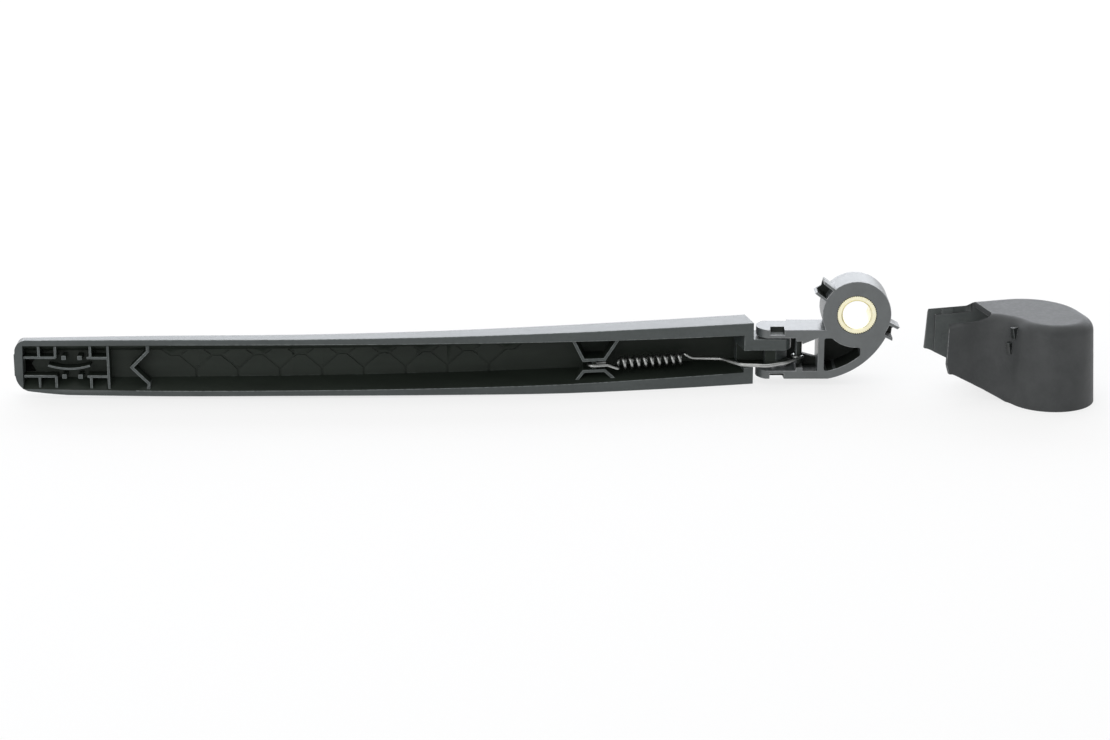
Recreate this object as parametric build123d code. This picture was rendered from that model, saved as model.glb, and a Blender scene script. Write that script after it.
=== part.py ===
from build123d import *
import math
import os

# Rear wiper arm without its blade, seen open side first, with its cover cap taken off beside it.
# Millimetres. X runs along the arm with the blade end at -X, Y leads away from the glass,
# Z runs across the arm. The origin is the middle of the spindle bore on the head's underside.

# Spindle seat in the head
bore_radius = 5.4
insert_radius = 7.6
insert_length = 13.6
ring_radius = 13.0
head_depth = 14.0

# Hinge between head and arm
hinge_x = -30.5
hinge_y = 6.4
pin_radius = 1.75
pin_clearance = 0.05
pin_skin = 0.9
arm_line_z = -15.7
prong_gap = 12.9
prong_thickness = 3.25
prong_end_radius = 7.1
prong_step_x = -25.7
prong_step_drop = 1.6
tongue_width = 11.2
tongue_radius = 6.3
tongue_back_rise = 1.2
lower_ear_setback = 3.2
end_wall_gap = 1.0

# Head body
head_wall = 3.25
web_x = -14.4
web_thickness = 2.4
pocket_floor = 2.5
pocket_right_x = 1.7
pocket_corner_radius = 0.8
back_plate_thickness = 1.0
skirt_start_x = -10.4
skirt_end = (11.3, -8.7)
skirt_bulge = 3.2
gap_slant = 1.6
gap_floor_thickness = 2.5
gap_brace_drop = 2.4
gap_brace_depth = 4.0
snap_notch_x = -29.8
snap_notch_width = 5.3
snap_notch_depth = 2.1
snap_notch_reach = 4.6

# Cap lugs on the ring
upper_lug_reach = 4.9
lower_lug_reach = 3.9
lug_width = 6.0
lug_depth = 7.0
lug_wall = 1.1
lug_tip_hollow = 1.2
upper_lug_angle = 143.0
lower_lug_angle = -27.0

# Arm moulding
arm_length = 277.0
arm_stations = 25
back_edge_radius = 3.2
crown_rise = 0.6
roof_thickness = 2.1
roof_half_width = 5.3
end_wall_thickness = 3.6
end_wall_slant = 3.9
tip_wall = 2.6
tip_corner_radii = (6.5, 4.6)
tip_back_radius = 3.0
tip_taper_length = 30.0
tip_taper = 1.8
tip_bulge = 0.3
tip_pad_reach = 0.55
tip_pad_half = 4.5
tip_pad_radius = 0.6
rib_root = 0.4

# Arm sections from hinge end to blade end:
# share of the arm's length, rim height in Y, width, depth, side wall at the rim
arm_sections = [
    (0.000, 1.3, 24.2, 15.2, 4.8),
    (0.115, -4.7, 24.2, 14.4, 4.4),
    (0.265, -10.9, 23.9, 13.2, 3.6),
    (0.440, -14.6, 22.8, 11.3, 2.7),
    (0.620, -16.4, 22.2, 9.6, 2.2),
    (0.805, -16.8, 22.2, 8.6, 2.2),
    (1.000, -15.9, 21.2, 6.8, 2.2),
]

# Blade socket ribs near the blade end, measured from the blade end
socket_rib_thickness = 1.0
socket_rib_setback = 0.7
socket_half_width = 3.65
socket_length = 34.6
socket_guide_front = (2.8, 15.0)
socket_guide_rear = (26.6, 34.6)
socket_cross_front = (8.7, 14.9)
socket_cross_rear = 28.0
catch_size = 1.7
catch_places = (18.0, 24.0)
leaf_start = 12.0
leaf_end = 27.8
leaf_bow = 1.3
leaf_thickness = 0.85

# Stiffening rib behind the socket, measured from the blade end
chevron_foot = 49.5
chevron_apex = 43.4
chevron_rise = 6.2
chevron_thickness = 1.15

# Shallow grooves in the roof, a chain of cups and points, measured from the blade end
groove_start = 59.0
groove_pitch = 15.7
groove_count = 9
groove_width = 0.8
groove_depth = 0.4
groove_link_half = 1.7
groove_link_rise = 3.2
groove_cup_half = 4.6
groove_point_drop = 2.3

# Spring anchor in the arm
hook_plane_z = -17.9
anchor_x = -99.2
anchor_y = -5.2
anchor_radius = 0.9
anchor_rib_setback = 2.6
anchor_rib_thickness = 1.2
anchor_bar_half = 4.0
anchor_bar_spread = 2.2
anchor_leg_runs = (5.8, 8.0)

# Tension spring, one wire with an anchor loop, a coil and a long hook
wire_radius = 0.65
wire_sides = 6
wire_facet_angle = 40.0
coil_radius = 1.9
coil_turns = 9.5
coil_start = (-90.1, -3.7)
coil_end = (-65.0, 2.5)
loop_play = 0.6
loop_side_clearance = 0.3
loop_reach = 4.8
coil_lead = 1.4
coil_bend_radius = 0.9
hook_bend_radius = 3.5
hook_eye_end = 140.0
hook_route = [(-62.8, 2.6), (-51.0, 1.9), (-43.6, -5.6), (-34.0, -7.0), (-26.6, -3.2)]

# Bar on the head that the hook pulls on, and the way for the hook through the arm's end
hook_bar_x = -21.3
hook_bar_y = 5.8
hook_bar_radius = 1.3
hook_bar_clearance = 0.3
hook_slot_above = 3.4
hook_slot_below = 1.8
hook_slot_back = 4.0
hook_slot_front = 2.45
hook_slot_side = 2.4
hook_slot_lean = 0.75
hook_channel_below = 3.2

# Cap shell, as fitted on the head
cap_clearance = 0.35
cap_wall = 2.1
cap_top_gap = 0.3
cap_top_thickness = 2.2
cap_end_gap = 0.4
cap_rim_y = -15.5
cap_lobe_x = 1.3
cap_lobe_z = 3.0
cap_lobe_radius = 16.5
cap_blend_radius = 12.0
cap_draft_angle = 3.0
cap_heel_radius = 23.4
cap_top_radius = 4.5
cap_notch_x = -18.6
cap_notch_radius = 3.0
cap_skirt_slope = 0.553
cap_skirt_radius = 6.0
cap_near_foot = (3.0, -5.0)
cap_far_foot = (1.5, -1.2)
cap_end_bow = 2.2
cap_nose_height = 1.2
cap_nose_length = 3.0
cap_nose_width = 3.6
cap_pad_thickness = 0.6
cap_pad_reach = 3.1
cap_nub_width = 1.8
cap_nub_height = 4.6
cap_nub_reach = 2.0
cap_nub_foot = 0.9
cap_nub_angles = (-20.0, -28.0)
cap_nub_heights = (11.7, 5.6)

# Place of the cap taken off and stood on its rim
cap_stand_x = 69.2
cap_stand_y = -13.4
cap_stand_turn = 15.8

# Worked-out places
prong_low = arm_line_z - prong_gap / 2
prong_high = arm_line_z + prong_gap / 2
prong_outer_half = prong_gap / 2 + prong_thickness
prong_end_x = hinge_x - prong_end_radius
arm_root_x = prong_end_x - end_wall_gap
arm_tip_x = arm_root_x - arm_length
arm_half_width = max(section[2] for section in arm_sections) / 2
floor_z = arm_line_z - arm_half_width
cap_top_y = head_depth + cap_top_gap + cap_top_thickness

# Cuts run this far past a face, joined pieces share this much, and full cuts are this long
overcut = 1.0
overlap = 0.3
cut_length = 1.5 * arm_length


def along_y(sketch, front, back):
    return extrude(Plane.XZ.offset(-front) * sketch, amount=back - front, dir=(0, 1, 0))


def along_z(sketch, low, high):
    return extrude(Plane.XY.offset(low) * sketch, amount=high - low, dir=(0, 0, 1))


def through_y(sketch):
    return along_y(sketch, -cut_length, cut_length)


def through_z(sketch):
    return along_z(sketch, -cut_length, cut_length)


def rectangle(left, bottom, right, top):
    centre = Pos((left + right) / 2, (bottom + top) / 2)
    return centre * Rectangle(right - left, top - bottom)


# Head: spindle ring, two prongs, hook bar and cap lugs in one moulding
def lug(angle, reach):
    outer = ring_radius + reach
    half = lug_width / 2
    block = rectangle(ring_radius - overcut, -half, outer, half)
    hollow = make_face(Polyline(
        (outer, half),
        (outer + overcut, 0),
        (outer, -half),
        (outer - lug_tip_hollow, 0),
        close=True,
    ))
    channel = rectangle(ring_radius, lug_wall - half, outer, half - lug_wall)
    shape = along_y(Rot(0, 0, angle) * (block - hollow), 0, lug_depth)
    return shape - along_y(Rot(0, 0, angle) * channel, 0, lug_depth - lug_wall)


def skirt_points():
    start = Vector(skirt_start_x, arm_line_z - prong_outer_half)
    end = Vector(*skirt_end)
    side = (end - start).rotate(Axis.Z, -90).normalized()
    return start, (start + end) / 2 + side * skirt_bulge, end


def head_outline():
    low = arm_line_z - prong_outer_half
    high = arm_line_z + prong_outer_half
    start, bulge, end = skirt_points()
    body = make_face([
        Line((prong_end_x, low), start),
        ThreePointArc(start, bulge, end),
        Line(end, (0, 0)),
        Line((0, 0), (0, high)),
        Line((0, high), (prong_end_x, high)),
        Line((prong_end_x, high), (prong_end_x, low)),
    ])
    return body + Circle(ring_radius)


def head_pocket():
    skirt = ThreePointArc(*skirt_points())
    inside = Pos(skirt.arc_center) * Circle(skirt.radius - head_wall)
    region = rectangle(web_x + web_thickness, prong_low, pocket_right_x, prong_high)
    pocket = (inside & region) - Circle(ring_radius)
    return fillet(pocket.vertices(), pocket_corner_radius)


def hook_bar():
    left = hook_bar_x - hook_bar_radius
    right = hook_bar_x + hook_bar_radius
    bar = Pos(hook_bar_x, hook_bar_y, arm_line_z) * Cylinder(hook_bar_radius, prong_gap + 2 * overlap)
    for side in (prong_low, prong_high):
        foot = rectangle(left, side - hook_bar_radius, right, side + hook_bar_radius)
        bar += along_y(foot, 0, head_depth - prong_step_drop)
    floor = make_face(Polyline(
        (right - overlap, prong_low),
        (web_x, prong_low),
        (web_x, hook_plane_z - gap_slant),
        (right - overlap, hook_plane_z),
        close=True,
    ))
    floor_front = head_depth - pocket_floor - gap_floor_thickness
    bar += along_y(floor, floor_front, floor_front + gap_floor_thickness)
    brace = make_face(Polyline(
        (right - overlap, prong_high),
        (right - overlap, prong_high - gap_brace_drop),
        (web_x, prong_high),
        close=True,
    ))
    return bar + along_y(brace, 0, gap_brace_depth)


def make_head():
    body = along_y(head_outline(), 0, head_depth)
    body -= through_y(rectangle(prong_end_x - overcut, prong_low, web_x, prong_high))
    body += hook_bar()
    plate = rectangle(prong_step_x, prong_low - overlap, hook_bar_x, prong_high + overlap)
    body += along_y(plate, head_depth - back_plate_thickness, head_depth)
    body -= along_y(head_pocket(), -overcut, head_depth - pocket_floor)
    ends = rectangle(prong_end_x - overcut, -overcut, hinge_x, head_depth + overcut)
    ends -= Pos(hinge_x, hinge_y) * Circle(prong_end_radius)
    body -= through_z(ends)
    step_y = head_depth - prong_step_drop
    body -= through_z(rectangle(prong_end_x - overcut, step_y, prong_step_x, head_depth + overcut))
    for side in (-1, 1):
        outer = arm_line_z + side * prong_outer_half
        notch = rectangle(
            snap_notch_x - snap_notch_width / 2,
            outer - snap_notch_depth,
            snap_notch_x + snap_notch_width / 2,
            outer + snap_notch_depth,
        )
        body -= along_y(notch, -overcut, snap_notch_reach)
    body += lug(upper_lug_angle, upper_lug_reach)
    body += lug(lower_lug_angle, lower_lug_reach)
    body -= along_y(Circle(insert_radius), -overcut, head_depth + overcut)
    return body - make_hinge_pin()


# Brass insert, flush with the head's underside
def make_spindle_insert():
    return along_y(Circle(insert_radius) - Circle(bore_radius), 0, insert_length)


# Hinge pin, moulded into the prongs
def make_hinge_pin():
    length = 2 * (prong_outer_half - pin_skin)
    return Pos(hinge_x, hinge_y, arm_line_z) * Cylinder(pin_radius, length)


# Arm: one bowed channel with its ribs and the hinge tongue
def arm_x(share):
    return arm_root_x - share * arm_length


def section_slopes(column):
    last = len(arm_sections) - 1
    slopes = []
    for index in range(last + 1):
        before = arm_sections[max(index - 1, 0)]
        after = arm_sections[min(index + 1, last)]
        slopes.append((after[column] - before[column]) / (after[0] - before[0]))
    return slopes


def section_value(share, column):
    slopes = section_slopes(column)
    index = max(i for i, section in enumerate(arm_sections[:-1]) if section[0] <= share)
    start, end = arm_sections[index], arm_sections[index + 1]
    span = end[0] - start[0]
    t = (share - start[0]) / span
    rise = t * t * (3 - 2 * t)
    from_start = start[column] + (end[column] - start[column]) * rise
    leave = slopes[index] * span * t * (1 - t) ** 2
    arrive = slopes[index + 1] * span * t * t * (t - 1)
    return from_start + leave + arrive


def arm_stations_along():
    stations = []
    past_tip = (tip_pad_reach + overcut) / arm_length
    for step in range(arm_stations):
        share = (1 + past_tip) * step / (arm_stations - 1)
        stations.append((share, *(section_value(share, column) for column in range(1, 5))))
    return stations


def outer_section(share, rim, width, depth):
    half = width / 2
    radius = back_edge_radius
    shoulder = rim + depth - crown_rise - radius
    back = rim + depth
    knee = radius * math.sqrt(0.5)
    lines = [
        Line((rim, -half), (rim, half)),
        Line((rim, half), (shoulder, half)),
        ThreePointArc(
            (shoulder, half),
            (shoulder + knee, half - radius + knee),
            (shoulder + radius, half - radius),
        ),
        ThreePointArc((shoulder + radius, half - radius), (back, 0), (shoulder + radius, radius - half)),
        ThreePointArc(
            (shoulder + radius, radius - half),
            (shoulder + knee, radius - knee - half),
            (shoulder, -half),
        ),
        Line((shoulder, -half), (rim, -half)),
    ]
    return Plane.YZ.offset(arm_x(share)) * Pos(0, arm_line_z) * make_face(lines)


def inner_section(share, rim, width, depth, wall, setback, root):
    roof = rim + depth - roof_thickness
    rim_half = width / 2 - wall + root
    roof_half = roof_half_width + root
    front_half = rim_half + (roof_half - rim_half) * setback / (roof - rim)
    outline = make_face(Polyline(
        (rim + setback, -front_half),
        (rim + setback, front_half),
        (roof + root, roof_half),
        (roof + root, -roof_half),
        close=True,
    ))
    return Plane.YZ.offset(arm_x(share)) * Pos(0, arm_line_z) * outline


def cavity(setback, root):
    faces = [inner_section(*station, setback, root) for station in arm_stations_along()]
    return loft(faces, ruled=True)


def arm_plan():
    low = arm_line_z - arm_half_width - overcut
    high = arm_line_z + arm_half_width + overcut
    tip_half = arm_sections[-1][2] / 2
    tip_high = arm_line_z + tip_half
    tip_low = arm_line_z - tip_half + tip_taper
    taper_x = arm_tip_x + tip_taper_length
    taper_low = arm_line_z - arm_sections[-2][2] / 2
    step_x = arm_tip_x + 2 * max(tip_corner_radii)
    outline = make_face([
        TangentArc((taper_x, taper_low), (arm_tip_x, tip_low), tangent=(-1, 0)),
        Polyline(
            (taper_x, taper_low),
            (taper_x, low),
            (arm_root_x, low),
            (arm_root_x, high),
            (step_x, high),
            (step_x, tip_high),
            (arm_tip_x, tip_high),
        ),
        ThreePointArc(
            (arm_tip_x, tip_high),
            (arm_tip_x - tip_bulge, (tip_high + tip_low) / 2),
            (arm_tip_x, tip_low),
        ),
    ])
    for height, radius in zip((tip_low, tip_high), tip_corner_radii):
        corner = outline.vertices().sort_by_distance((arm_tip_x, height))[0]
        outline = fillet(corner, radius)
    middle = (tip_high + tip_low) / 2
    left = arm_tip_x - tip_pad_reach
    pad = rectangle(left, middle - tip_pad_half, arm_tip_x + tip_wall / 2, middle + tip_pad_half)
    return outline + fillet(pad.vertices().sort_by(Axis.X)[:2], tip_pad_radius)


def arm_span(start, end):
    front = arm_sections[0][1]
    back = front + arm_sections[0][3]
    return through_z(make_face(Polyline(
        (start, -cut_length),
        (end, -cut_length),
        (end, front),
        (end - end_wall_slant, back),
        (end - end_wall_slant, cut_length),
        (start, cut_length),
        close=True,
    )))


def tip_rounding():
    left = arm_tip_x - tip_pad_reach
    back = arm_sections[-1][1] + arm_sections[-1][3]
    radius = tip_back_radius
    corner = rectangle(left - overcut, back - radius, left + radius, back + overcut)
    return through_z(corner - Pos(left + radius, back - radius) * Circle(radius))


def rib_wall(points, thickness):
    return through_y(trace(Polyline(*points), line_width=thickness))


def socket_ribs():
    ribs = []
    end = arm_tip_x + socket_length
    for side in (-1, 1):
        z = arm_line_z + side * socket_half_width
        wall = arm_line_z + side * arm_half_width
        for start, stop in (socket_guide_front, socket_guide_rear):
            ribs.append(rib_wall([(arm_tip_x + start, z), (arm_tip_x + stop, z)], socket_rib_thickness))
        for place in (*socket_cross_front, socket_cross_rear):
            x = arm_tip_x + place
            ribs.append(rib_wall([(x, z), (x, wall)], socket_rib_thickness))
        ribs.append(rib_wall([(end, arm_line_z), (end, wall)], socket_rib_thickness))
        for place in catch_places:
            ribs.append(through_y(Pos(arm_tip_x + place, z) * Rectangle(catch_size, catch_size)))
    leaf = ThreePointArc(
        (arm_tip_x + leaf_start, arm_line_z + leaf_bow / 2),
        (arm_tip_x + (leaf_start + leaf_end) / 2, arm_line_z - leaf_bow / 2),
        (arm_tip_x + leaf_end, arm_line_z + leaf_bow / 2),
    )
    ribs.append(through_y(trace(leaf, line_width=leaf_thickness)))
    return ribs


def chevron_rib():
    foot = arm_tip_x + chevron_foot
    return rib_wall(
        [
            (foot, arm_line_z + arm_half_width),
            (foot, arm_line_z + chevron_rise),
            (arm_tip_x + chevron_apex, arm_line_z),
            (foot, arm_line_z - chevron_rise),
            (foot, arm_line_z - arm_half_width),
        ],
        chevron_thickness,
    )


def roof_grooves():
    shelf = arm_line_z + groove_link_rise
    fold_high = arm_line_z + roof_half_width
    fold_low = arm_line_z - roof_half_width
    point = arm_line_z - groove_point_drop
    net = Sketch()
    for index in range(groove_count):
        x = arm_tip_x + groove_start + index * groove_pitch
        left, right = x - groove_link_half, x + groove_link_half
        cup = Polyline(
            (x - groove_cup_half, fold_high),
            (left, shelf),
            (right, shelf),
            (x + groove_cup_half, fold_high),
        )
        net += trace(cup, line_width=groove_width)
        if index < groove_count - 1:
            middle = x + groove_pitch / 2
            valley = Polyline((right, shelf), (middle, point), (left + groove_pitch, shelf))
            net += trace(valley, line_width=groove_width)
            net += trace(Line((middle, point), (middle, fold_low)), line_width=groove_width)
    return through_y(net)


def anchor_ribs():
    ribs = []
    left_run, right_run = anchor_leg_runs
    for side in (-1, 1):
        bar = hook_plane_z + side * anchor_bar_spread
        wall = arm_line_z + side * arm_half_width
        ribs.append(rib_wall(
            [
                (anchor_x - anchor_bar_half - left_run, wall),
                (anchor_x - anchor_bar_half, bar),
                (anchor_x + anchor_bar_half, bar),
                (anchor_x + anchor_bar_half + right_run, wall),
            ],
            anchor_rib_thickness,
        ))
    return ribs


def hinge_tongue():
    front = arm_sections[0][1]
    root = arm_root_x - end_wall_thickness
    profile = make_face(Polyline(
        (root, front),
        (hinge_x, front),
        (hinge_x, hinge_y + tongue_radius),
        (root, hinge_y + tongue_radius + tongue_back_rise),
        close=True,
    ))
    knuckle = Pos(hinge_x, hinge_y) * Circle(tongue_radius)
    knuckle &= rectangle(hinge_x - tongue_radius, front, hinge_x + tongue_radius, cut_length)
    low = arm_line_z - tongue_width / 2
    tongue = along_z(profile + knuckle, low, low + tongue_width)
    slot_low = hook_plane_z - hook_slot_below
    shelf = rectangle(root, low - overcut, hinge_x + 2 * tongue_radius, slot_low)
    return tongue - along_y(shelf, -cut_length, front + lower_ear_setback)


def hook_way():
    low = hook_plane_z - hook_slot_below
    high = hook_plane_z + hook_slot_above
    slot_left = hinge_x - hook_slot_back
    slot_right = hinge_x + 2 * tongue_radius
    boss_front = hinge_y - hook_slot_front
    boss_corner = hinge_x + hook_slot_side - hook_slot_lean * hook_slot_front
    boss_back = hinge_x + hook_slot_side + hook_slot_lean * tongue_radius
    slot = make_face(Polyline(
        (slot_left, -cut_length),
        (slot_left, boss_front),
        (boss_corner, boss_front),
        (boss_back, hinge_y + tongue_radius),
        (slot_right, hinge_y + tongue_radius),
        (slot_right, -cut_length),
        close=True,
    ))
    channel = rectangle(
        arm_root_x - end_wall_thickness - end_wall_slant - overcut,
        hook_plane_z - hook_channel_below,
        slot_left + overlap,
        high,
    )
    channel_back = hinge_y + tongue_radius - roof_thickness
    return along_z(slot, low, high) + along_y(channel, -cut_length, channel_back)


def make_arm():
    shell = loft([outer_section(*station[:4]) for station in arm_stations_along()], ruled=True)
    shell &= through_y(arm_plan())
    shell &= arm_span(arm_tip_x - tip_pad_reach - overcut, arm_root_x)
    shell -= tip_rounding()
    shell -= cavity(-overcut, 0) & arm_span(arm_tip_x + tip_wall, arm_root_x - end_wall_thickness)
    shell -= roof_grooves() & cavity(anchor_rib_setback, groove_depth)
    room = cavity(socket_rib_setback, rib_root)
    for rib in (*socket_ribs(), chevron_rib()):
        shell += rib & room
    room = cavity(anchor_rib_setback, rib_root)
    for rib in anchor_ribs():
        shell += rib & room
    shell += Pos(anchor_x, anchor_y, hook_plane_z) * Cylinder(anchor_radius, 2 * anchor_bar_spread)
    shell += hinge_tongue()
    shell -= hook_way()
    pin_hole = Cylinder(pin_radius + pin_clearance, tongue_width + 2 * overcut)
    return shell - Pos(hinge_x, hinge_y, arm_line_z) * pin_hole


# Tension spring: loop round the anchor bar, coil, and hook bowed clear of the hinge pin
def anchor_loop(reach):
    anchor = Vector(anchor_x, anchor_y, hook_plane_z)
    radius = anchor_radius + loop_side_clearance + wire_radius
    side = Vector(-reach.Y, reach.X, 0) * radius
    turn = anchor - reach * (loop_play - loop_side_clearance)
    stop = anchor + reach * loop_reach
    return [
        Line(stop + side, turn + side),
        ThreePointArc(turn + side, turn - reach * radius, turn - side),
    ], [turn - side, stop - side]


def hook_eye():
    radius = hook_bar_radius + hook_bar_clearance + wire_radius
    lead = Vector(*hook_route[-1]) - Vector(hook_bar_x, hook_bar_y)
    touch = math.degrees(math.atan2(lead.Y, lead.X) + math.acos(radius / lead.length))
    eye = CenterArc((hook_bar_x, hook_bar_y), radius, touch, hook_eye_end - touch)
    return Pos(0, 0, hook_plane_z) * eye


def spring_path():
    start = Vector(*coil_start, hook_plane_z)
    end = Vector(*coil_end, hook_plane_z)
    length = (end - start).length
    helix = Helix(pitch=length / coil_turns, height=length, radius=coil_radius)
    coil = Plane(origin=start, x_dir=(0, 0, -1), z_dir=end - start) * helix
    loop, run_in = anchor_loop((start - Vector(anchor_x, anchor_y, hook_plane_z)).normalized())
    run_in += [coil @ 0 - (coil % 0) * coil_lead, coil @ 0]
    lead_in = FilletPolyline(*run_in, radius=coil_bend_radius)
    route = [Vector(x, y, hook_plane_z) for x, y in hook_route]
    run_out = [coil @ 1, coil @ 1 + (coil % 1) * coil_lead, route[0]]
    lead_out = FilletPolyline(*run_out, radius=coil_bend_radius)
    eye = hook_eye()
    hook = FilletPolyline(lead_out @ 1, *route[1:], eye @ 0, radius=hook_bend_radius)
    return Wire([*loop, *lead_in.edges(), *coil.edges(), *lead_out.edges(), *hook.edges(), *eye.edges()])


def wire_shares(path):
    shares = []
    travelled = 0
    for edge in path.order_edges():
        facets = 1
        if edge.geom_type != GeomType.LINE:
            radius = edge.radius if edge.geom_type == GeomType.CIRCLE else coil_radius
            facets = math.ceil(math.degrees(edge.length / radius) / wire_facet_angle)
        shares += [(travelled + edge.length * step / facets) / path.length for step in range(facets)]
        travelled += edge.length
    return [*shares, 1]


def make_tension_spring():
    path = spring_path()
    side = Vector(0, 0, 1)
    sections = []
    for share in wire_shares(path):
        along = path % share
        side = (side - along * side.dot(along)).normalized()
        across = Plane(origin=path @ share, x_dir=side, z_dir=along)
        sections.append(across * RegularPolygon(wire_radius, wire_sides))
    return loft(sections, ruled=True)


# Cap: a thin moulded shell over head and hinge
def cap_blend_centre():
    centre_z = arm_line_z + arm_half_width + cap_blend_radius
    run = math.sqrt((cap_lobe_radius + cap_blend_radius) ** 2 - (centre_z - cap_lobe_z) ** 2)
    return Vector(cap_lobe_x - run, centre_z)


def cap_outline(inset):
    high = arm_line_z + arm_half_width - inset
    low = arm_line_z - arm_half_width + inset
    left = arm_root_x + cap_end_gap
    lobe = cap_lobe_radius - inset
    blend = cap_blend_radius + inset
    blend_centre = cap_blend_centre()
    blend_start = Vector(blend_centre.X, high)
    lobe_centre = Vector(cap_lobe_x, cap_lobe_z)
    touch = lobe_centre + (blend_centre - lobe_centre).normalized() * lobe
    towards_middle = (blend_start + touch - blend_centre * 2).normalized()
    right = cap_lobe_x + lobe
    heel = cap_heel_radius - inset
    knee = heel * math.sqrt(0.5)
    heel_centre = Vector(right - heel, low + heel)
    return make_face([
        Line((left, low), (heel_centre.X, low)),
        ThreePointArc((heel_centre.X, low), heel_centre + Vector(knee, -knee), (right, heel_centre.Y)),
        Line((right, heel_centre.Y), (right, cap_lobe_z)),
        ThreePointArc((right, cap_lobe_z), lobe_centre + Vector(0, lobe), touch),
        ThreePointArc(touch, blend_centre + towards_middle * blend, blend_start),
        Line(blend_start, (left, high)),
        Line((left, high), (left, low)),
    ])


def skirt_cut(foot):
    left = arm_root_x + cap_end_gap
    run, foot_y = foot
    end_x = left + run + (foot_y - cap_rim_y) / cap_skirt_slope
    region = make_face(Polyline(
        (left - overcut, cap_rim_y - overcut),
        (left - overcut, foot_y),
        (left + run, foot_y),
        (end_x, cap_rim_y),
        (end_x, cap_rim_y - overcut),
        close=True,
    ))
    corner = region.vertices().sort_by_distance((left + run, foot_y))[0]
    return fillet(corner, cap_skirt_radius)


def cap_nub(angle, height):
    half = cap_nub_height / 2
    wall = cap_blend_radius + (height - cap_rim_y) * math.tan(math.radians(cap_draft_angle))
    wedge = make_face(Polyline(
        (wall + overcut, half),
        (wall - cap_nub_reach, half),
        (wall - cap_nub_foot, -half),
        (wall + overcut, -half),
        close=True,
    ))
    nub = along_z(wedge, -cap_nub_width / 2, cap_nub_width / 2)
    centre = cap_blend_centre()
    return Pos(centre.X, height, centre.Y) * Rot(0, -angle, 0) * nub


def cap_nose(side):
    face = arm_line_z + side * (arm_half_width - cap_wall)
    inner = face - side * cap_nose_height
    root = face + side * overlap
    nose = rectangle(
        snap_notch_x - cap_nose_length / 2,
        min(inner, root),
        snap_notch_x + cap_nose_length / 2,
        max(inner, root),
    )
    back = snap_notch_reach - cap_clearance
    return along_y(nose, back - cap_nose_width, back)


def cap_pad(side):
    face = arm_line_z + side * (arm_half_width - cap_wall)
    inner = face - side * cap_pad_thickness
    root = face + side * overlap
    left = snap_notch_x - cap_nose_length / 2
    pad = rectangle(left, min(inner, root), snap_notch_x + cap_pad_reach, max(inner, root))
    return along_y(pad, snap_notch_reach - cap_clearance - overlap, head_depth)


def cap_block(inset, front, back):
    block = along_y(cap_outline(inset), front, back)
    walls = block.faces().filter_by(Axis.Y, reverse=True)
    return draft(walls, Plane.ZX.offset(front), cap_draft_angle)


def cap_fitted():
    inside = cap_top_y - cap_top_thickness
    left = arm_root_x + cap_end_gap
    inner = arm_half_width - cap_wall
    shell = cap_block(0, cap_rim_y, cap_top_y)
    back_edges = shell.faces().sort_by(Axis.Y)[-1].edges()
    back_edges = back_edges.filter_by(lambda edge: edge.center().X > left + cap_wall)
    shell = fillet(back_edges, cap_top_radius)
    shell -= cap_block(cap_wall, cap_rim_y - overcut, inside)
    open_end = rectangle(left - overcut, arm_line_z - inner, left + 2 * cap_wall, arm_line_z + inner)
    shell -= along_y(open_end, cap_rim_y - overcut, inside)
    notch = rectangle(left - 2 * cap_notch_radius, arm_line_z - inner, cap_notch_x, arm_line_z + inner)
    notch = fillet(notch.vertices().sort_by(Axis.X)[2:], cap_notch_radius)
    shell -= along_y(notch, inside - cap_top_thickness, cap_top_y + overcut)
    shell -= along_z(skirt_cut(cap_near_foot), arm_line_z, cut_length)
    shell -= along_z(skirt_cut(cap_far_foot), -cut_length, arm_line_z)
    low_y = cap_near_foot[1] - overcut
    high_y = cap_top_y + overcut
    bow_x = left + cap_end_bow
    end = make_face([
        Polyline((bow_x, high_y), (left - overcut, high_y), (left - overcut, low_y), (bow_x, low_y)),
        ThreePointArc((bow_x, low_y), (left, (low_y + high_y) / 2), (bow_x, high_y)),
    ])
    shell -= through_z(end)
    for angle, height in zip(cap_nub_angles, cap_nub_heights):
        shell += cap_nub(angle, height)
    for side in (-1, 1):
        shell += cap_nose(side)
        shell += cap_pad(side)
    return shell


def make_cap():
    stand = Pos(cap_stand_x, cap_stand_y, floor_z - cap_rim_y)
    return stand * Rot(0, 0, cap_stand_turn) * Rot(90, 0, 0) * cap_fitted()


pieces = {
    "head": make_head,
    "spindle_insert": make_spindle_insert,
    "hinge_pin": make_hinge_pin,
    "arm": make_arm,
    "tension_spring": make_tension_spring,
    "cap": make_cap,
}

if __name__ == "__main__":
    os.makedirs("parts", exist_ok=True)
    for name, make in pieces.items():
        export_step(make(), f"parts/{name}.step")
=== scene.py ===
import math

import bmesh
import bpy
from mathutils import Matrix, Vector
from mathutils.bvhtree import BVHTree


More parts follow.
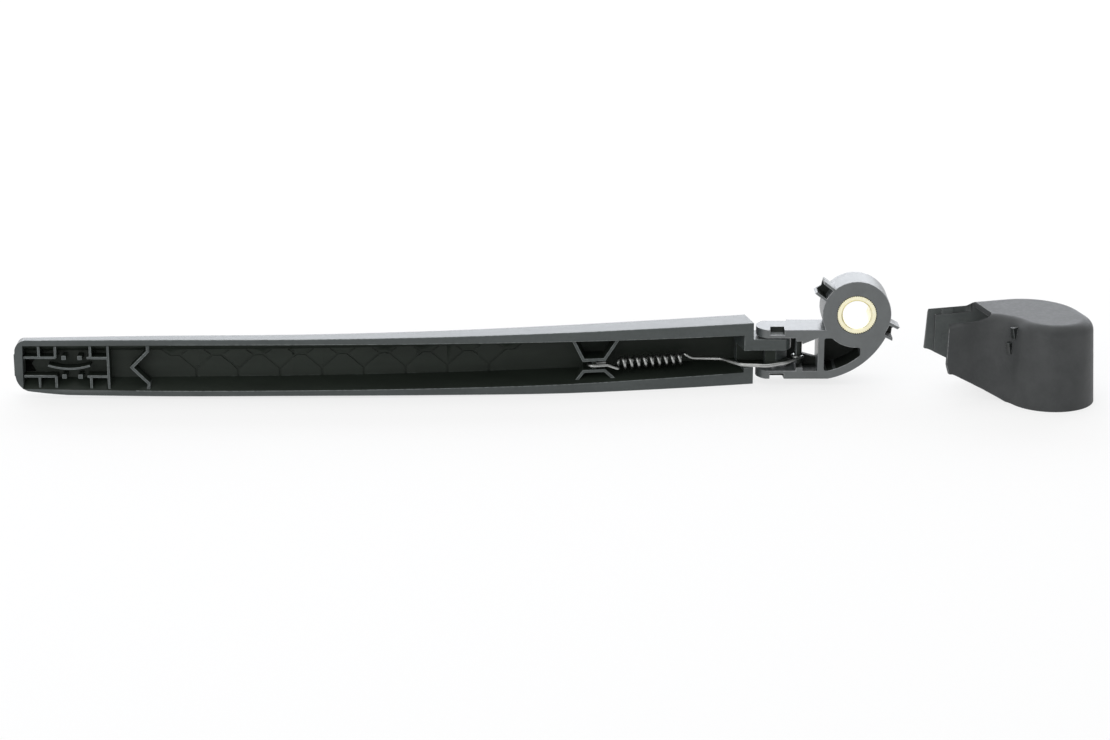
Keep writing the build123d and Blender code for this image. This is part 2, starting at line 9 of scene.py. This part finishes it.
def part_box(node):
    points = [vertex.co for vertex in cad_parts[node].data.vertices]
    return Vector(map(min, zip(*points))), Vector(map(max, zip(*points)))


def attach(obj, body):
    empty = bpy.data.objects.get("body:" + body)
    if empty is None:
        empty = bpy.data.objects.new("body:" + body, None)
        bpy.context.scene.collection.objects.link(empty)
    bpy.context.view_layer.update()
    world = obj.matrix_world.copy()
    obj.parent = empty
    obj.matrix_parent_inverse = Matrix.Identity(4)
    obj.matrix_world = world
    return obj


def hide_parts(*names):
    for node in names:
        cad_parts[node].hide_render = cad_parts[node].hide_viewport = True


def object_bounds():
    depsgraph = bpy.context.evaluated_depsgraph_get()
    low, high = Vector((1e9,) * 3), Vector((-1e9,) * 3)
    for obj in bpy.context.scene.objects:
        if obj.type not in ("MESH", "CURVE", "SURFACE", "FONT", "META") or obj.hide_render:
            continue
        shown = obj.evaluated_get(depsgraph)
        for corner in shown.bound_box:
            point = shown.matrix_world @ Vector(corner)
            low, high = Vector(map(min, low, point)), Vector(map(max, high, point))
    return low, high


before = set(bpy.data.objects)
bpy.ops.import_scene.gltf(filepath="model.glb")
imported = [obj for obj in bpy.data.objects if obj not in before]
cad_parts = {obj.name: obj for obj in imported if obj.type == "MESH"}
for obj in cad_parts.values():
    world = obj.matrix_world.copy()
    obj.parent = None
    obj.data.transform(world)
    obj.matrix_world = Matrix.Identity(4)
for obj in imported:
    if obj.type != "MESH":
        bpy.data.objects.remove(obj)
cadLow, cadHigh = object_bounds()
print("frame loaded:", sorted(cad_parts))

mm = 0.001
weldGap = 0.002 * mm                                                 # points closer than this are merged
noiseBand = (0.3, 0.7)                                               # most values of a noise lie in here
wearAndHighlightBand = (0.35, 0.6)                                               # mottle from least to most worn and highlit edges
wearAndHighlightLayer = "edgeWearAndHighlight"                                               # 1 on rounded outside edges: wear and a painted highlight
scene = bpy.context.scene
scene.view_settings.view_transform = "Standard"


# materials

def newMaterial(name):
    material = bpy.data.materials.new(name)
    material.use_nodes = True
    nodes = material.node_tree.nodes
    nodes.clear()
    output = nodes.new("ShaderNodeOutputMaterial")
    shader = nodes.new("ShaderNodeBsdfPrincipled")
    material.node_tree.links.new(shader.outputs["BSDF"], output.inputs["Surface"])
    return material, nodes, material.node_tree.links, shader


def stretchOn(nodes, links, coords, scale):
    mapping = nodes.new("ShaderNodeMapping")
    mapping.inputs["Scale"].default_value = scale
    links.new(coords, mapping.inputs["Vector"])
    return mapping.outputs["Vector"]


def noiseOn(nodes, links, coords, scale, detail):
    noise = nodes.new("ShaderNodeTexNoise")
    noise.inputs["Scale"].default_value = scale
    noise.inputs["Detail"].default_value = detail
    links.new(coords, noise.inputs["Vector"])
    return noise.outputs["Fac"]


def rampOn(nodes, links, value, stops):
    ramp = nodes.new("ShaderNodeValToRGB")
    for element, (place, colour) in zip(ramp.color_ramp.elements, stops):
        element.position = place
        element.color = (*colour, 1)
    links.new(value, ramp.inputs["Fac"])
    return ramp.outputs["Color"]


def rangeOn(nodes, links, value, source, target):
    spread = nodes.new("ShaderNodeMapRange")
    spread.inputs["From Min"].default_value, spread.inputs["From Max"].default_value = source
    spread.inputs["To Min"].default_value, spread.inputs["To Max"].default_value = target
    links.new(value, spread.inputs["Value"])
    return spread.outputs["Result"]


def bumpOn(nodes, links, height, strength, distance):
    bump = nodes.new("ShaderNodeBump")
    bump.inputs["Strength"].default_value = strength
    bump.inputs["Distance"].default_value = distance
    links.new(height, bump.inputs["Height"])
    return bump.outputs["Normal"]


def mathOn(nodes, links, operation, *values):
    step = nodes.new("ShaderNodeMath")
    step.operation = operation
    for socket, value in zip(step.inputs, values):
        if isinstance(value, float):
            socket.default_value = value
        else:
            links.new(value, socket)
    return step.outputs["Value"]


def mouldedPlastic(name, look):
    material, nodes, links, shader = newMaterial(name)
    coords = nodes.new("ShaderNodeTexCoord").outputs["Object"]
    stretched = stretchOn(nodes, links, coords, look["flow"])
    flow = noiseOn(nodes, links, stretched, scale=1.0, detail=3)                      # streaks of the melt
    mottle = noiseOn(nodes, links, coords, look["mottleScale"], detail=4)             # handling and dust
    grain = noiseOn(nodes, links, coords, look["grainScale"], detail=2)               # spark-eroded mould skin

    tone = mathOn(nodes, links, "MULTIPLY_ADD", mottle, look["mottleShare"], flow)
    lift = look["mottleShare"] / 2                                                    # the mottle's mean
    tones = [(place + lift, look[shade]) for place, shade in zip(noiseBand, ("dark", "light"))]
    wornAndHighlit = nodes.new("ShaderNodeAttribute")
    wornAndHighlit.attribute_name = wearAndHighlightLayer
    patches = rangeOn(nodes, links, mottle, wearAndHighlightBand, look["wearAndHighlight"])
    colour = nodes.new("ShaderNodeMix")                                               # rounded edges rub light and carry a painted highlight
    colour.data_type = "RGBA"
    colour.inputs["B"].default_value = (*look["rubbedAndHighlit"], 1)
    links.new(mathOn(nodes, links, "MULTIPLY", wornAndHighlit.outputs["Fac"], patches), colour.inputs["Factor"])
    links.new(rampOn(nodes, links, tone, tones), colour.inputs["A"])

    links.new(colour.outputs["Result"], shader.inputs["Base Color"])
    links.new(rangeOn(nodes, links, mottle, noiseBand, look["roughness"]), shader.inputs["Roughness"])
    links.new(bumpOn(nodes, links, grain, look["grainStrength"], look["grainDepth"]), shader.inputs["Normal"])
    shader.inputs["IOR"].default_value = look["ior"]
    shader.inputs["Specular IOR Level"].default_value = look["shine"]
    return material


def drawnMetal(name, look):
    material, nodes, links, shader = newMaterial(name)
    coords = nodes.new("ShaderNodeTexCoord").outputs["Object"]
    stretched = stretchOn(nodes, links, coords, look["scratches"])
    stain = noiseOn(nodes, links, coords, look["stainScale"], detail=4)
    scratch = noiseOn(nodes, links, stretched, scale=1.0, detail=2)
    tones = zip(noiseBand, (look["dark"], look["light"]))
    links.new(rampOn(nodes, links, stain, tones), shader.inputs["Base Color"])
    links.new(rangeOn(nodes, links, scratch, noiseBand, look["roughness"]), shader.inputs["Roughness"])
    links.new(bumpOn(nodes, links, scratch, look["scratchStrength"], look["scratchDepth"]), shader.inputs["Normal"])
    shader.inputs["Metallic"].default_value = 1.0
    return material


# shared by all pieces

def addPiece(bm, name, body, slot, materials, sharpAngle, *nodeNames):
    mesh = bpy.data.meshes.new(name)
    bm.to_mesh(mesh)
    bm.free()
    for material in materials:
        mesh.materials.append(material)
    mesh.set_sharp_from_angle(angle=math.radians(sharpAngle))
    piece = bpy.data.objects.new(name, mesh)
    scene.collection.objects.link(piece)
    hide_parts(*nodeNames)
    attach(piece, body)
    print(name, len(mesh.polygons), "faces")
    return piece


def smoothFaces(bm):
    for face in bm.faces:
        face.smooth = True


# mouldings: the imported solids with whole flat faces, rounded edges with wear and a painted edge highlight, painted
# shade in their insides and painted light inside the cap

moulding = {
    "flatAngle": 0.05, "sharpAngle": 32,                             # degrees: faces that join, edges to round
    "leastRounds": 3,                                                # faces narrower than this keep sharp edges
    "pinAt": (-30.5 * mm, 6.4 * mm), "pinKeep": 2.1 * mm,            # edges by the pin's bore stay sharp
    "endOn": 1e-18,                                                  # squared length of an edge seen end on
    "frontOn": 0.85,                                                 # normals that count as facing the open side
    "rayLift": 0.02 * mm,                                            # rays start this far off their face
}


def spotsOnFaces(bm):
    spots = {}
    for loops in bm.calc_loop_triangles():
        a, b, c = (loop.vert.co for loop in loops)
        area = (b - a).cross(c - a).length
        face = loops[0].face
        if area >= spots.get(face, (0, None))[0]:                    # middle of its largest triangle
            spots[face] = (area, (a + b + c) / 3)
    return {face: spot for face, (area, spot) in spots.items()}


# faces of the cap's nubs that get painted shade: their undersides and sides
def onNub(normal, spot, nubs):
    near = all(low < at < high for low, at, high in zip(nubs["low"], spot, nubs["high"]))
    return near and (normal.z < nubs["under"] or normal.dot(Vector(nubs["wall"])) < nubs["wallMatch"])


def paintInsideShadeAndLight(bm, setting):
    # skin 1 is painted shade in the arm's channel and the head's pocket, and painted light on the cap's insides
    tree = BVHTree.FromBMesh(bm)
    across = (Vector((0, 0, 1)), Vector((0, 0, -1)))
    for face, spot in spotsOnFaces(bm).items():
        facing = face.normal.copy()
        if setting["openDepth"] and facing.y < -moulding["frontOn"]:  # on the open side: painted shade if it lies deep
            byHinge = spot.x > setting["hingeFrom"]
            start = spot + facing * setting["hingeDepth" if byHinge else "openDepth"]
            inside = any(tree.ray_cast(start, way, setting["reach"])[0] for way in across)
        else:                                                        # painted tone if it faces its own piece: shade on arm and head, light on the cap
            start = spot + facing * moulding["rayLift"]
            if setting["openDepth"] and facing.y < moulding["frontOn"]:
                facing.y = 0                                         # drafted walls face straight across
            inside = tree.ray_cast(start, facing.normalized(), setting["reach"])[0]
        face.material_index = 1 if inside else 0
        # skin 2 is painted shade on the nubs' sides and undersides
        if "nubs" in setting and onNub(face.normal, spot, setting["nubs"]):
            face.material_index = 2


def clearOfPin(edge):
    pin = Vector(moulding["pinAt"])
    start, end = (vert.co.to_2d() for vert in edge.verts)
    line = end - start
    along = (pin - start).dot(line) / max(line.length_squared, moulding["endOn"])
    return (start + line * min(max(along, 0), 1) - pin).length > moulding["pinKeep"]


def roundEdges(bm, setting):
    least = setting["round"] * moulding["leastRounds"]
    wornAndHighlit = bm.loops.layers.float.new(wearAndHighlightLayer)
    edges = []
    for edge in bm.edges:
        if len(edge.link_faces) != 2 or edge.calc_length() < least or not clearOfPin(edge):
            continue
        narrowest = min(face.calc_area() for face in edge.link_faces) / edge.calc_length()
        if narrowest > least and edge.calc_face_angle() > math.radians(moulding["sharpAngle"]):
            edges.append(edge)
    rounded = bmesh.ops.bevel(bm, geom=edges, offset=setting["round"], offset_type="OFFSET", segments=2, profile=0.5,
                              affect="EDGES", clamp_overlap=False, loop_slide=True, material=-1)
    bm.normal_update()
    for face in rounded["faces"]:
        if sum(edge.calc_face_angle_signed(0) for edge in face.edges) > 0:    # outside edges only: wear and a painted highlight
            for loop in face.loops:
                loop[wornAndHighlit] = 1.0


def addMoulding(nodeName, name, body, slot, setting):
    bm = bmesh.new()
    bm.from_mesh(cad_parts[nodeName].data)
    bmesh.ops.remove_doubles(bm, verts=bm.verts, dist=weldGap)
    bmesh.ops.dissolve_limit(bm, angle_limit=math.radians(moulding["flatAngle"]), verts=bm.verts, edges=bm.edges)
    bm.normal_update()
    smoothFaces(bm)
    paintInsideShadeAndLight(bm, setting)
    roundEdges(bm, setting)
    skins = [mouldedPlastic(skin, look) for skin, look in setting["skins"].items()]
    piece = addPiece(bm, name, body, slot, skins, moulding["sharpAngle"], nodeName)
    shading = piece.modifiers.new("even shading", "WEIGHTED_NORMAL")
    shading.keep_sharp = True


armMoulding = {
    "round": 0.22 * mm, "reach": 25 * mm,
    # faces this deep behind the open side, or facing their own piece, get the painted shade skin
    "openDepth": 3.0 * mm, "hingeDepth": 2.0 * mm, "hingeFrom": -45 * mm,
    "skins": {
        "arm black plastic": {
            "dark": (0.05, 0.059, 0.058), "light": (0.066, 0.077, 0.076), "shine": 0.45, "ior": 1.5,
            "rubbedAndHighlit": (0.2, 0.22, 0.22), "wearAndHighlight": (0.3, 1.0),
            "flow": (40, 200, 200), "mottleScale": 700, "mottleShare": 0.5, "roughness": (0.32, 0.37),
            "grainScale": 5200, "grainStrength": 0.2, "grainDepth": 0.03 * mm,
        },
        # painted shade: the channel's insides and the hinge shelf, where shade falls
        "arm cavity painted shade": {
            "dark": (0.0115, 0.016, 0.0118), "light": (0.0165, 0.0225, 0.0168), "shine": 0.3, "ior": 1.5,
            "rubbedAndHighlit": (0.05, 0.06, 0.055), "wearAndHighlight": (0.0, 0.5),
            "flow": (40, 200, 200), "mottleScale": 700, "mottleShare": 0.5, "roughness": (0.55, 0.65),
            "grainScale": 3600, "grainStrength": 0.3, "grainDepth": 0.04 * mm,
        },
    },
}
addMoulding("arm", "armMoulding", "arm", "arm_plastic", armMoulding)

headMoulding = {
    "round": 0.22 * mm, "reach": 12.5 * mm,
    "openDepth": 3.0 * mm, "hingeDepth": 3.0 * mm, "hingeFrom": 0,
    "skins": {
        "head black plastic": {
            "dark": (0.071, 0.08, 0.0815), "light": (0.089, 0.1, 0.102), "shine": 1.0, "ior": 1.52,
            "rubbedAndHighlit": (0.3, 0.31, 0.32), "wearAndHighlight": (0.3, 1.0),
            "flow": (160, 160, 160), "mottleScale": 800, "mottleShare": 0.5, "roughness": (0.32, 0.37),
            "grainScale": 5200, "grainStrength": 0.2, "grainDepth": 0.03 * mm,
        },
        # painted shade: the pocket's insides, where shade falls
        "head pocket painted shade": {
            "dark": (0.0115, 0.0145, 0.012), "light": (0.016, 0.02, 0.0168), "shine": 0.3, "ior": 1.5,
            "rubbedAndHighlit": (0.06, 0.07, 0.065), "wearAndHighlight": (0.0, 0.5),
            "flow": (160, 160, 160), "mottleScale": 800, "mottleShare": 0.5, "roughness": (0.55, 0.65),
            "grainScale": 3600, "grainStrength": 0.3, "grainDepth": 0.04 * mm,
        },
    },
}
addMoulding("head", "headMoulding", "head", "head_plastic", headMoulding)

capMoulding = {
    "round": 0.2 * mm, "reach": 30 * mm, "openDepth": None,
    "nubs": {
        "low": (0.053, -0.0235, -0.0093), "high": (0.0585, -0.017, 0.0018),      # box round both
        "wall": (-0.74, -0.67, 0.05), "wallMatch": 0.9, "under": -0.1,           # the wall that they stand on
    },
    "skins": {
        "cap black plastic": {
            "dark": (0.044, 0.047, 0.048), "light": (0.057, 0.06, 0.061), "shine": 0.35, "ior": 1.5,
            "rubbedAndHighlit": (0.21, 0.22, 0.22), "wearAndHighlight": (0.3, 1.0),
            "flow": (150, 150, 150), "mottleScale": 800, "mottleShare": 0.5, "roughness": (0.5, 0.6),
            "grainScale": 4200, "grainStrength": 0.3, "grainDepth": 0.04 * mm,
        },
        # painted light: a lighter skin on the cap's inner faces, which lie in its own shade
        "cap inside painted light": {
            "dark": (0.09, 0.1, 0.099), "light": (0.115, 0.126, 0.124), "shine": 0.4, "ior": 1.5,
            "rubbedAndHighlit": (0.13, 0.138, 0.14), "wearAndHighlight": (0.1, 0.6),
            "flow": (150, 150, 150), "mottleScale": 800, "mottleShare": 0.5, "roughness": (0.45, 0.55),
            "grainScale": 4200, "grainStrength": 0.3, "grainDepth": 0.04 * mm,
        },
        # painted shade: the nubs' sides and undersides
        "cap nub painted shade": {
            "dark": (0.012, 0.0145, 0.014), "light": (0.018, 0.021, 0.02), "shine": 0.6, "ior": 1.5,
            "rubbedAndHighlit": (0.09, 0.1, 0.1), "wearAndHighlight": (0.0, 0.6),
            "flow": (150, 150, 150), "mottleScale": 800, "mottleShare": 0.5, "roughness": (0.25, 0.35),
            "grainScale": 4200, "grainStrength": 0.1, "grainDepth": 0.02 * mm,
        },
    },
}
addMoulding("cap", "coverCap", "head", "cap_plastic", capMoulding)
print("mouldings done")


# tension spring: one round wire walked along its path

springWire = {
    "radius": 0.65 * mm, "sides": 14, "facet": math.radians(14), "endRound": 0.15 * mm, "sharpAngle": 40,
    "plane": -17.9,                                                  # the wire's own plane, points in it are in mm
    "anchor": (-99.2, -5.2), "anchorRadius": 0.9,
    "loopPlay": 0.6, "loopSide": 0.3, "loopReach": 4.8, "loopSteps": 14,
    "coilStart": (-90.1, -3.7), "coilEnd": (-65.0, 2.5), "coilRadius": 1.9, "coilTurns": 9.5, "coilSteps": 24,
    "coilLead": 1.4, "coilBend": 0.9 * mm,
    "hookRoute": [(-62.8, 2.6), (-51.0, 1.9), (-43.6, -5.6), (-34.0, -7.0), (-26.6, -3.2)], "hookBend": 3.5 * mm,
    "bar": (-21.3, 5.8), "barRadius": 1.3, "barClearance": 0.3, "eyeEnd": 140, "eyeSteps": 16,
    "look": {
        "dark": (0.3, 0.31, 0.3), "light": (0.46, 0.47, 0.46), "stainScale": 400, "scratches": (600, 3000, 3000),
        "roughness": (0.26, 0.38), "scratchStrength": 0.1, "scratchDepth": 0.01 * mm,
    },
}


def inPlane(point):
    return Vector((point[0], point[1], springWire["plane"])) * mm


def startWire(bm, at, along):
    stand = Matrix.Translation(at) @ along.to_track_quat("Z", "Y").to_matrix().to_4x4()
    made = bmesh.ops.create_circle(bm, cap_ends=False, segments=springWire["sides"], radius=springWire["radius"],
                                   matrix=stand)
    return list({edge for vert in made["verts"] for edge in vert.link_edges})


def runWire(bm, ring, shift):
    made = bmesh.ops.extrude_edge_only(bm, edges=ring)["geom"]
    verts = [item for item in made if isinstance(item, bmesh.types.BMVert)]
    bmesh.ops.translate(bm, verts=verts, vec=shift)
    fresh = set(verts)
    return [edge for edge in bm.edges if edge.verts[0] in fresh and edge.verts[1] in fresh]


def bendWire(bm, ring, centre, axis, angle, steps, lead=(0, 0, 0)):
    geom = ring + list({vert for edge in ring for vert in edge.verts})
    made = bmesh.ops.spin(bm, geom=geom, cent=centre, axis=axis, dvec=lead, angle=angle, steps=steps, use_merge=False)
    return [item for item in made["geom_last"] if isinstance(item, bmesh.types.BMEdge)]


def followRoute(bm, ring, points, bends):
    at = points[0]
    for before, corner, after, bend in zip(points, points[1:], points[2:], bends):
        into = (corner - before).normalized()
        out = (after - corner).normalized()
        turn = into.angle(out)
        axis = into.cross(out).normalized()
        start = corner - into * bend * math.tan(turn / 2)
        ring = runWire(bm, ring, start - at)
        centre = start + axis.cross(into) * bend
        ring = bendWire(bm, ring, centre, axis, turn, max(2, round(turn / springWire["facet"])))
        at = corner + out * bend * math.tan(turn / 2)
    return runWire(bm, ring, points[-1] - at)


def closeWire(bm, ring):
    end = bmesh.ops.contextual_create(bm, geom=ring)["faces"]
    rim = [edge for face in end for edge in face.edges]
    bmesh.ops.bevel(bm, geom=rim, offset=springWire["endRound"], offset_type="OFFSET", segments=2, profile=0.5,
                    affect="EDGES", material=-1)


anchor = inPlane(springWire["anchor"])
coilStart = inPlane(springWire["coilStart"])
coilEnd = inPlane(springWire["coilEnd"])
reach = (coilStart - anchor).normalized()
loopRadius = (springWire["anchorRadius"] + springWire["loopSide"]) * mm + springWire["radius"]
loopSide = Vector((-reach.y, reach.x, 0)) * loopRadius
loopTurn = anchor - reach * (springWire["loopPlay"] - springWire["loopSide"]) * mm
loopStop = anchor + reach * springWire["loopReach"] * mm

coilAxis = (coilEnd - coilStart).normalized()
coilOut = Vector((0, 0, -1))
coilAround = coilAxis.cross(coilOut)
coilRadius = springWire["coilRadius"] * mm
coilRise = (coilEnd - coilStart).length / springWire["coilTurns"] / math.tau
coilHalf = math.cos(math.tau * springWire["coilTurns"])              # which side the last turn ends on
coilSteps = round(springWire["coilSteps"] * springWire["coilTurns"])
coilIn = coilStart + coilOut * coilRadius
coilLast = coilEnd + coilOut * coilRadius * coilHalf
tangentIn = (coilAround * coilRadius + coilAxis * coilRise).normalized()
tangentOut = (coilAround * coilRadius * coilHalf + coilAxis * coilRise).normalized()
coilLead = springWire["coilLead"] * mm

bar = inPlane(springWire["bar"])
hookRoute = [inPlane(point) for point in springWire["hookRoute"]]
eyeRadius = (springWire["barRadius"] + springWire["barClearance"]) * mm + springWire["radius"]
eyeLead = hookRoute[-1] - bar
eyeTouch = math.atan2(eyeLead.y, eyeLead.x) + math.acos(eyeRadius / eyeLead.length)
eyeIn = bar + Vector((math.cos(eyeTouch), math.sin(eyeTouch), 0)) * eyeRadius
eyeSweep = (math.radians(springWire["eyeEnd"]) - eyeTouch) % math.tau - math.tau   # clockwise round the bar

bm = bmesh.new()
ring = startWire(bm, loopStop + loopSide, -reach)
firstRing = list(ring)
ring = runWire(bm, ring, loopTurn - loopStop)
ring = bendWire(bm, ring, loopTurn, (0, 0, 1), math.pi, springWire["loopSteps"])
ring = followRoute(bm, ring, [loopTurn - loopSide, loopStop - loopSide, coilIn - tangentIn * coilLead, coilIn],
                   [springWire["coilBend"]] * 2)
ring = bendWire(bm, ring, coilStart, coilAxis, math.tau * springWire["coilTurns"], coilSteps,
                (coilEnd - coilStart) / coilSteps)
ring = followRoute(bm, ring, [coilLast, coilLast + tangentOut * coilLead, *hookRoute, eyeIn],
                   [springWire["coilBend"]] + [springWire["hookBend"]] * len(hookRoute))
ring = bendWire(bm, ring, bar, (0, 0, 1), eyeSweep, springWire["eyeSteps"])
closeWire(bm, firstRing)
closeWire(bm, ring)
bmesh.ops.recalc_face_normals(bm, faces=bm.faces)
smoothFaces(bm)
wireSkins = [drawnMetal("spring wire steel", springWire["look"])]
addPiece(bm, "springWire", "spring", "spring_steel", wireSkins, springWire["sharpAngle"], "tension_spring")


# turned pieces

def lathe(profile, centre, axis, steps):
    bm = bmesh.new()
    verts = [bm.verts.new(point) for point in profile]
    edges = [bm.edges.new(pair) for pair in zip(verts, verts[1:] + verts[:1])]
    bmesh.ops.spin(bm, geom=verts + edges, cent=centre, axis=axis, angle=math.tau, steps=steps, use_merge=True)
    bmesh.ops.remove_doubles(bm, verts=bm.verts, dist=weldGap)
    bmesh.ops.recalc_face_normals(bm, faces=bm.faces)
    return bm


bush = {
    "bore": 5.4 * mm, "outside": 7.6 * mm, "length": 13.6 * mm, "boreChamfer": 0.45 * mm, "rimChamfer": 0.12 * mm,
    "teeth": 56, "toothDepth": 0.45 * mm, "sharpAngle": 30,
    "look": {
        "dark": (0.97, 0.9, 0.6), "light": (1.0, 0.97, 0.76), "stainScale": 500, "scratches": (2600, 700, 2600),
        "roughness": (0.28, 0.4), "scratchStrength": 0.1, "scratchDepth": 0.01 * mm,
    },
}
inner, outer, length = bush["bore"], bush["outside"], bush["length"]
lead, rim = bush["boreChamfer"], bush["rimChamfer"]
bushSteps = 2 * bush["teeth"]
bm = lathe(
    [(inner, lead, 0), (inner + lead, 0, 0), (outer - rim, 0, 0), (outer, rim, 0),
     (outer, length - rim, 0), (outer - rim, length, 0), (inner + lead, length, 0), (inner, length - lead, 0)],
    (0, 0, 0), (0, 1, 0), bushSteps,
)
valleys = []
for vert in bm.verts:
    step = round(math.atan2(vert.co.z, vert.co.x) / math.tau * bushSteps)
    if step % 2 and math.hypot(vert.co.x, vert.co.z) > outer - 2 * rim:
        valleys.append(vert)
deep = 1 - bush["toothDepth"] / outer
bmesh.ops.scale(bm, vec=(deep, 1, deep), verts=valleys)              # knurl that holds it in the plastic
for face in bm.faces:
    face.smooth = math.hypot(*face.calc_center_median().xz) < inner + lead
bushSkins = [drawnMetal("bush brass", bush["look"])]
addPiece(bm, "spindleBush", "head", "brass", bushSkins, bush["sharpAngle"], "spindle_insert")

pin = {
    "radius": 1.75 * mm, "chamfer": 0.35 * mm, "sides": 40, "sharpAngle": 30,
    "look": {
        "dark": (0.42, 0.42, 0.43), "light": (0.55, 0.55, 0.56), "stainScale": 500, "scratches": (2600, 2600, 500),
        "roughness": (0.25, 0.35), "scratchStrength": 0.08, "scratchDepth": 0.01 * mm,
    },
}
pinLow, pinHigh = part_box("hinge_pin")
pinMiddle = (Vector(pinLow) + Vector(pinHigh)) / 2
radius, chamfer = pin["radius"], pin["chamfer"]
outline = [
    (0, pinLow[2]), (radius - chamfer, pinLow[2]), (radius, pinLow[2] + chamfer),
    (radius, pinHigh[2] - chamfer), (radius - chamfer, pinHigh[2]), (0, pinHigh[2]),
]
bm = lathe([(pinMiddle.x + x, pinMiddle.y, z) for x, z in outline], pinMiddle, (0, 0, 1), pin["sides"])
smoothFaces(bm)
pinSkins = [drawnMetal("pin steel", pin["look"])]
addPiece(bm, "hingePin", "head", "pin_steel", pinSkins, pin["sharpAngle"], "hinge_pin")
print("metal pieces done")


# floor, light and camera

studio = {
    "floorSize": 12.0, "floorColour": (0.93, 0.93, 0.93), "floorRoughness": 0.9, "floorGlow": 0.74,
    "worldColour": (1.0, 1.0, 1.0), "worldStrength": 0.5,
    "darkEnd": 0.4, "fadeBand": (-0.8, 0.1),                         # dim front of the room, as gloss sees it
    "lookAt": (-0.1, 0, 0),
    "softboxes": {
        "top softbox": {"size": (1.3, 1.3), "power": 5, "place": (-0.1, 0.1, 1.2), "colour": (1, 1, 1)},
        "back softbox": {"size": (3.2, 0.95), "power": 28, "place": (-0.1, 1.45, 0.6), "colour": (0.91, 0.94, 1)},
        "front softbox": {"size": (1.2, 0.9), "power": 7, "place": (-0.9, -1.3, 0.55), "colour": (1, 1, 1)},
    },
}


def viewedOn(nodes, links, rays):
    return mathOn(nodes, links, "MAXIMUM", rays["Is Camera Ray"], rays["Is Glossy Ray"])


def mixTo(nodes, links, output, factor, first, second):
    mix = nodes.new("ShaderNodeMixShader")
    links.new(factor, mix.inputs["Fac"])
    links.new(first, mix.inputs[1])
    links.new(second, mix.inputs[2])
    links.new(mix.outputs["Shader"], output.inputs["Surface"])


floorMesh = bpy.data.meshes.new("studioFloor")
bm = bmesh.new()
bmesh.ops.create_grid(bm, x_segments=1, y_segments=1, size=studio["floorSize"] / 2)
bmesh.ops.translate(bm, verts=bm.verts, vec=(0, 0, cadLow.z))
bm.to_mesh(floorMesh)
bm.free()
floor = bpy.data.objects.new("studioFloor", floorMesh)
scene.collection.objects.link(floor)

floorMaterial, nodes, links, shader = newMaterial("studio floor white")
shader.inputs["Base Color"].default_value = (*studio["floorColour"], 1)
shader.inputs["Roughness"].default_value = studio["floorRoughness"]
glow = nodes.new("ShaderNodeEmission")
rays = nodes.new("ShaderNodeLightPath").outputs
glowShare = mathOn(nodes, links, "MULTIPLY", viewedOn(nodes, links, rays), studio["floorGlow"])
mixTo(nodes, links, nodes["Material Output"], glowShare, shader.outputs["BSDF"], glow.outputs["Emission"])
floorMesh.materials.append(floorMaterial)

world = bpy.data.worlds.new("white room")
world.use_nodes = True
scene.world = world
nodes = world.node_tree.nodes
links = world.node_tree.links
nodes.clear()
output = nodes.new("ShaderNodeOutputWorld")
room = nodes.new("ShaderNodeBackground")
room.inputs["Color"].default_value = (*studio["worldColour"], 1)
room.inputs["Strength"].default_value = studio["worldStrength"]
backdrop = nodes.new("ShaderNodeBackground")                         # white to the camera, and to gloss at the back
toward = nodes.new("ShaderNodeSeparateXYZ")
links.new(nodes.new("ShaderNodeTexCoord").outputs["Generated"], toward.inputs["Vector"])
fade = rangeOn(nodes, links, toward.outputs["Y"], studio["fadeBand"], (studio["darkEnd"], 1.0))
rays = nodes.new("ShaderNodeLightPath").outputs
links.new(mathOn(nodes, links, "MAXIMUM", rays["Is Camera Ray"], fade), backdrop.inputs["Strength"])
viewed = viewedOn(nodes, links, rays)
mixTo(nodes, links, output, viewed, room.outputs["Background"], backdrop.outputs["Background"])

for name, setting in studio["softboxes"].items():
    lamp = bpy.data.lights.new(name, "AREA")
    lamp.shape = "RECTANGLE"
    lamp.size, lamp.size_y = setting["size"]
    lamp.energy = setting["power"]
    lamp.color = setting["colour"]
    box = bpy.data.objects.new(name, lamp)
    box.location = setting["place"]
    box.rotation_euler = (Vector(studio["lookAt"]) - box.location).to_track_quat("-Z", "Y").to_euler()
    box.visible_camera = False
    scene.collection.objects.link(box)

shot = {
    "tilt": 18.0, "distance": 1132 * mm, "aim": (-113.95 * mm, -20.75 * mm),
    "focalPixels": 3000, "frameWidth": 1110, "sensorWidth": 36,
}
tilt = math.radians(shot["tilt"])
forward = Vector((0, math.cos(tilt), -math.sin(tilt)))
upward = Vector((0, math.sin(tilt), math.cos(tilt)))
cameraData = bpy.data.cameras.new("photo camera")
cameraData.sensor_width = shot["sensorWidth"]
cameraData.lens = shot["sensorWidth"] * shot["focalPixels"] / shot["frameWidth"]
camera = bpy.data.objects.new("photo camera", cameraData)
camera.location = Vector((shot["aim"][0], 0, 0)) + upward * shot["aim"][1] - forward * shot["distance"]
camera.rotation_euler = (math.radians(90 - shot["tilt"]), 0, 0)
scene.collection.objects.link(camera)
scene.camera = camera
print("studio ready")
